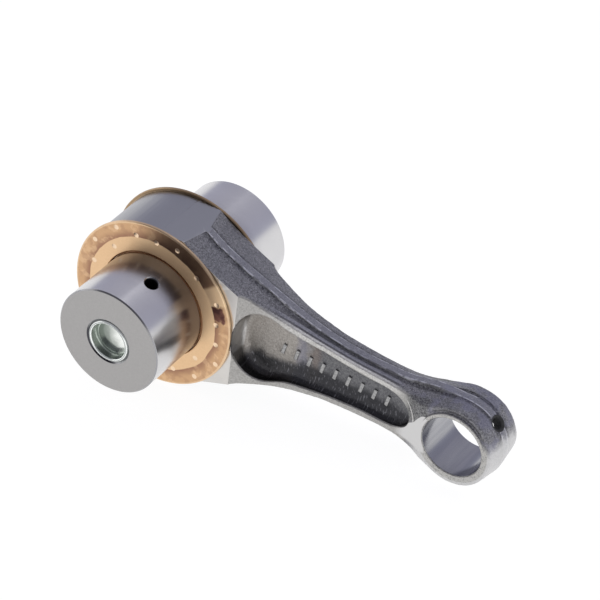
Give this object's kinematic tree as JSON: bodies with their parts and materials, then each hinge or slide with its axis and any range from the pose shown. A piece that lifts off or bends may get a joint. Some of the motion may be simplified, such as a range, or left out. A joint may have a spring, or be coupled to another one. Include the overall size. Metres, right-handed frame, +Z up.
{
  "type": "connecting rod",
  "caption": "Forged connecting rod of a single-cylinder engine with its crank pin, caged roller big-end bearing and copper-coloured thrust washers.",
  "frame": {"origin": "centre of the piston pin bore in the small end, with the assembly lying on a level surface", "axes": "+Z up. +Y along the piston pin bore and the crank pin, away from the oil plug. The rod runs from the big end at -X to the small end at +X, sloping down 7.9 degrees because it lies on its thrust washers and its small end"},
  "size_m": [0.1394, 0.0661, 0.0543],
  "materials": {
    "forged_steel": "as forged and shot peened, machined on its faces",
    "ground_steel": "ground",
    "zinc_plated_steel": "bright zinc",
    "copper_plate": "copper-plated, slightly stained",
    "bearing_steel": "lapped",
    "cage_steel": "silver-plated, satin"
  },
  "bodies": {
    "connecting_rod": {"connecting_rod": "forged_steel"},
    "crank_pin": {"crank_pin": "ground_steel", "oil_plug": "zinc_plated_steel"},
    "bearing_cage": {"bearing_cage": "cage_steel"},
    "thrust_washer_near": {"thrust_washer_near": "copper_plate"},
    "thrust_washer_far": {"thrust_washer_far": "copper_plate"},
    "roller_01": {"roller_01": "bearing_steel"},
    "roller_02": {"roller_02": "bearing_steel"},
    "roller_03": {"roller_03": "bearing_steel"},
    "roller_04": {"roller_04": "bearing_steel"},
    "roller_05": {"roller_05": "bearing_steel"},
    "roller_06": {"roller_06": "bearing_steel"},
    "roller_07": {"roller_07": "bearing_steel"},
    "roller_08": {"roller_08": "bearing_steel"},
    "roller_09": {"roller_09": "bearing_steel"},
    "roller_10": {"roller_10": "bearing_steel"},
    "roller_11": {"roller_11": "bearing_steel"},
    "roller_12": {"roller_12": "bearing_steel"},
    "roller_13": {"roller_13": "bearing_steel"},
    "roller_14": {"roller_14": "bearing_steel"},
    "roller_15": {"roller_15": "bearing_steel"},
    "roller_16": {"roller_16": "bearing_steel"}
  },
  "joints": [
    {"name": "crank_pin_spin", "type": "hinge", "parent": "connecting_rod", "child": "crank_pin", "pos_m": [-0.09906, 0, 0.0137], "axis": [0, 1, 0], "continuous": true},
    {"name": "cage_spin", "type": "hinge", "parent": "connecting_rod", "child": "bearing_cage", "pos_m": [-0.09906, 0, 0.0137], "axis": [0, 1, 0], "continuous": true},
    {"name": "near_washer_spin", "type": "hinge", "parent": "connecting_rod", "child": "thrust_washer_near", "pos_m": [-0.09906, 0, 0.0137], "axis": [0, 1, 0], "continuous": true},
    {"name": "far_washer_spin", "type": "hinge", "parent": "connecting_rod", "child": "thrust_washer_far", "pos_m": [-0.09906, 0, 0.0137], "axis": [0, 1, 0], "continuous": true},
    {"name": "roller_01_spin", "type": "hinge", "parent": "bearing_cage", "child": "roller_01", "pos_m": [-0.08014, 0, 0.01108], "axis": [0, 1, 0], "continuous": true},
    {"name": "roller_02_spin", "type": "hinge", "parent": "bearing_cage", "child": "roller_02", "pos_m": [-0.08058, 0, 0.01852], "axis": [0, 1, 0], "continuous": true},
    {"name": "roller_03_spin", "type": "hinge", "parent": "bearing_cage", "child": "roller_03", "pos_m": [-0.08383, 0, 0.02523], "axis": [0, 1, 0], "continuous": true},
    {"name": "roller_04_spin", "type": "hinge", "parent": "bearing_cage", "child": "roller_04", "pos_m": [-0.0894, 0, 0.03018], "axis": [0, 1, 0], "continuous": true},
    {"name": "roller_05_spin", "type": "hinge", "parent": "bearing_cage", "child": "roller_05", "pos_m": [-0.09644, 0, 0.03262], "axis": [0, 1, 0], "continuous": true},
    {"name": "roller_06_spin", "type": "hinge", "parent": "bearing_cage", "child": "roller_06", "pos_m": [-0.10388, 0, 0.03218], "axis": [0, 1, 0], "continuous": true},
    {"name": "roller_07_spin", "type": "hinge", "parent": "bearing_cage", "child": "roller_07", "pos_m": [-0.11059, 0, 0.02893], "axis": [0, 1, 0], "continuous": true},
    {"name": "roller_08_spin", "type": "hinge", "parent": "bearing_cage", "child": "roller_08", "pos_m": [-0.11553, 0, 0.02336], "axis": [0, 1, 0], "continuous": true},
    {"name": "roller_09_spin", "type": "hinge", "parent": "bearing_cage", "child": "roller_09", "pos_m": [-0.11798, 0, 0.01632], "axis": [0, 1, 0], "continuous": true},
    {"name": "roller_10_spin", "type": "hinge", "parent": "bearing_cage", "child": "roller_10", "pos_m": [-0.11754, 0, 0.00888], "axis": [0, 1, 0], "continuous": true},
    {"name": "roller_11_spin", "type": "hinge", "parent": "bearing_cage", "child": "roller_11", "pos_m": [-0.11429, 0, 0.00217], "axis": [0, 1, 0], "continuous": true},
    {"name": "roller_12_spin", "type": "hinge", "parent": "bearing_cage", "child": "roller_12", "pos_m": [-0.10872, 0, -0.00278], "axis": [0, 1, 0], "continuous": true},
    {"name": "roller_13_spin", "type": "hinge", "parent": "bearing_cage", "child": "roller_13", "pos_m": [-0.10167, 0, -0.00522], "axis": [0, 1, 0], "continuous": true},
    {"name": "roller_14_spin", "type": "hinge", "parent": "bearing_cage", "child": "roller_14", "pos_m": [-0.09423, 0, -0.00478], "axis": [0, 1, 0], "continuous": true},
    {"name": "roller_15_spin", "type": "hinge", "parent": "bearing_cage", "child": "roller_15", "pos_m": [-0.08753, 0, -0.00153], "axis": [0, 1, 0], "continuous": true},
    {"name": "roller_16_spin", "type": "hinge", "parent": "bearing_cage", "child": "roller_16", "pos_m": [-0.08258, 0, 0.00404], "axis": [0, 1, 0], "continuous": true}
  ],
  "couplings": [
    {"joint": "cage_spin", "follows": "crank_pin_spin", "ratio": 0.44764},
    {"joint": "roller_01_spin", "follows": "crank_pin_spin", "ratio": -4.7226},
    {"joint": "roller_02_spin", "follows": "crank_pin_spin", "ratio": -4.7226},
    {"joint": "roller_03_spin", "follows": "crank_pin_spin", "ratio": -4.7226},
    {"joint": "roller_04_spin", "follows": "crank_pin_spin", "ratio": -4.7226},
    {"joint": "roller_05_spin", "follows": "crank_pin_spin", "ratio": -4.7226},
    {"joint": "roller_06_spin", "follows": "crank_pin_spin", "ratio": -4.7226},
    {"joint": "roller_07_spin", "follows": "crank_pin_spin", "ratio": -4.7226},
    {"joint": "roller_08_spin", "follows": "crank_pin_spin", "ratio": -4.7226},
    {"joint": "roller_09_spin", "follows": "crank_pin_spin", "ratio": -4.7226},
    {"joint": "roller_10_spin", "follows": "crank_pin_spin", "ratio": -4.7226},
    {"joint": "roller_11_spin", "follows": "crank_pin_spin", "ratio": -4.7226},
    {"joint": "roller_12_spin", "follows": "crank_pin_spin", "ratio": -4.7226},
    {"joint": "roller_13_spin", "follows": "crank_pin_spin", "ratio": -4.7226},
    {"joint": "roller_14_spin", "follows": "crank_pin_spin", "ratio": -4.7226},
    {"joint": "roller_15_spin", "follows": "crank_pin_spin", "ratio": -4.7226},
    {"joint": "roller_16_spin", "follows": "crank_pin_spin", "ratio": -4.7226}
  ]
}
